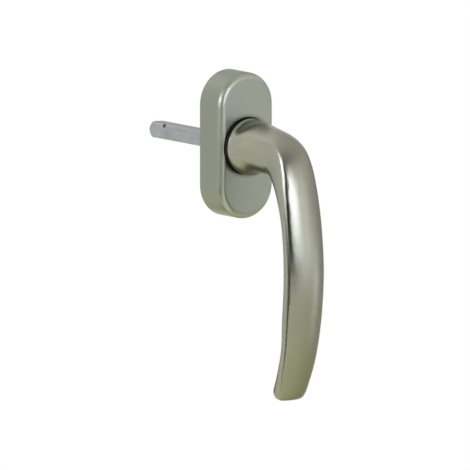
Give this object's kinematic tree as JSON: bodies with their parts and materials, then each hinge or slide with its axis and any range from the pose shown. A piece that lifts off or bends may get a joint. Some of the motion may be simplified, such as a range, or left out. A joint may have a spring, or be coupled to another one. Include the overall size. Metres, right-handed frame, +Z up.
{
  "type": "tilt and turn window handle",
  "caption": "Window handle with a stadium rosette, a round neck bending into a long crowned grip, and a sprung square spindle behind.",
  "frame": {"origin": "on the spindle's axis in the plane of the sash, midway between the two fixing screws", "axes": "+Z up, with the lever hanging down at rest; +Y into the window sash along the spindle; -Y into the room"},
  "size_m": [0.031, 0.1195, 0.1486],
  "materials": {
    "satin_handle": "satin blasted and anodised, steel to champagne tone, fine grain",
    "satin_cover": "satin blasted and anodised, steel to champagne tone, fine grain",
    "die_cast": "as-cast zinc alloy, dull grey",
    "bearing_plastic": "black moulded plastic, matt",
    "bush_plastic": "black moulded plastic, matt",
    "steel": "plain ground steel",
    "spring_steel": "tempered spring steel",
    "zinc_plated": "bright zinc plating over drawn steel"
  },
  "bodies": {
    "base": {"base_plate": "die_cast", "guide_plate": "bearing_plastic", "rear_bush": "bush_plastic", "detent_spring_left": "spring_steel", "detent_spring_right": "spring_steel"},
    "cover": {"rosette_cover": "satin_cover"},
    "lever": {"handle": "satin_handle", "detent_cam": "steel", "thrust_washer": "steel", "wave_washer": "spring_steel", "circlip": "spring_steel", "stop_pin": "spring_steel", "spindle_spring": "spring_steel"},
    "spindle_bar": {"spindle": "zinc_plated"}
  },
  "joints": [
    {"name": "handle_turn", "type": "hinge", "parent": "base", "child": "lever", "pos_m": [0, 0, 0], "axis": [0, 1, 0], "range_deg": [-180, 180], "deforming": ["detent_spring_left", "detent_spring_right"]},
    {"name": "spindle_slide", "type": "slide", "parent": "lever", "child": "spindle_bar", "axis": [0, -1, 0], "range_m": [0, 0.015], "stiffness_N_per_m": 400, "springref_m": -0.01, "deforming": ["spindle_spring"]},
    {"name": "cover_lift", "type": "slide", "parent": "base", "child": "cover", "axis": [0, -1, 0], "range_m": [0, 0.012]}
  ]
}
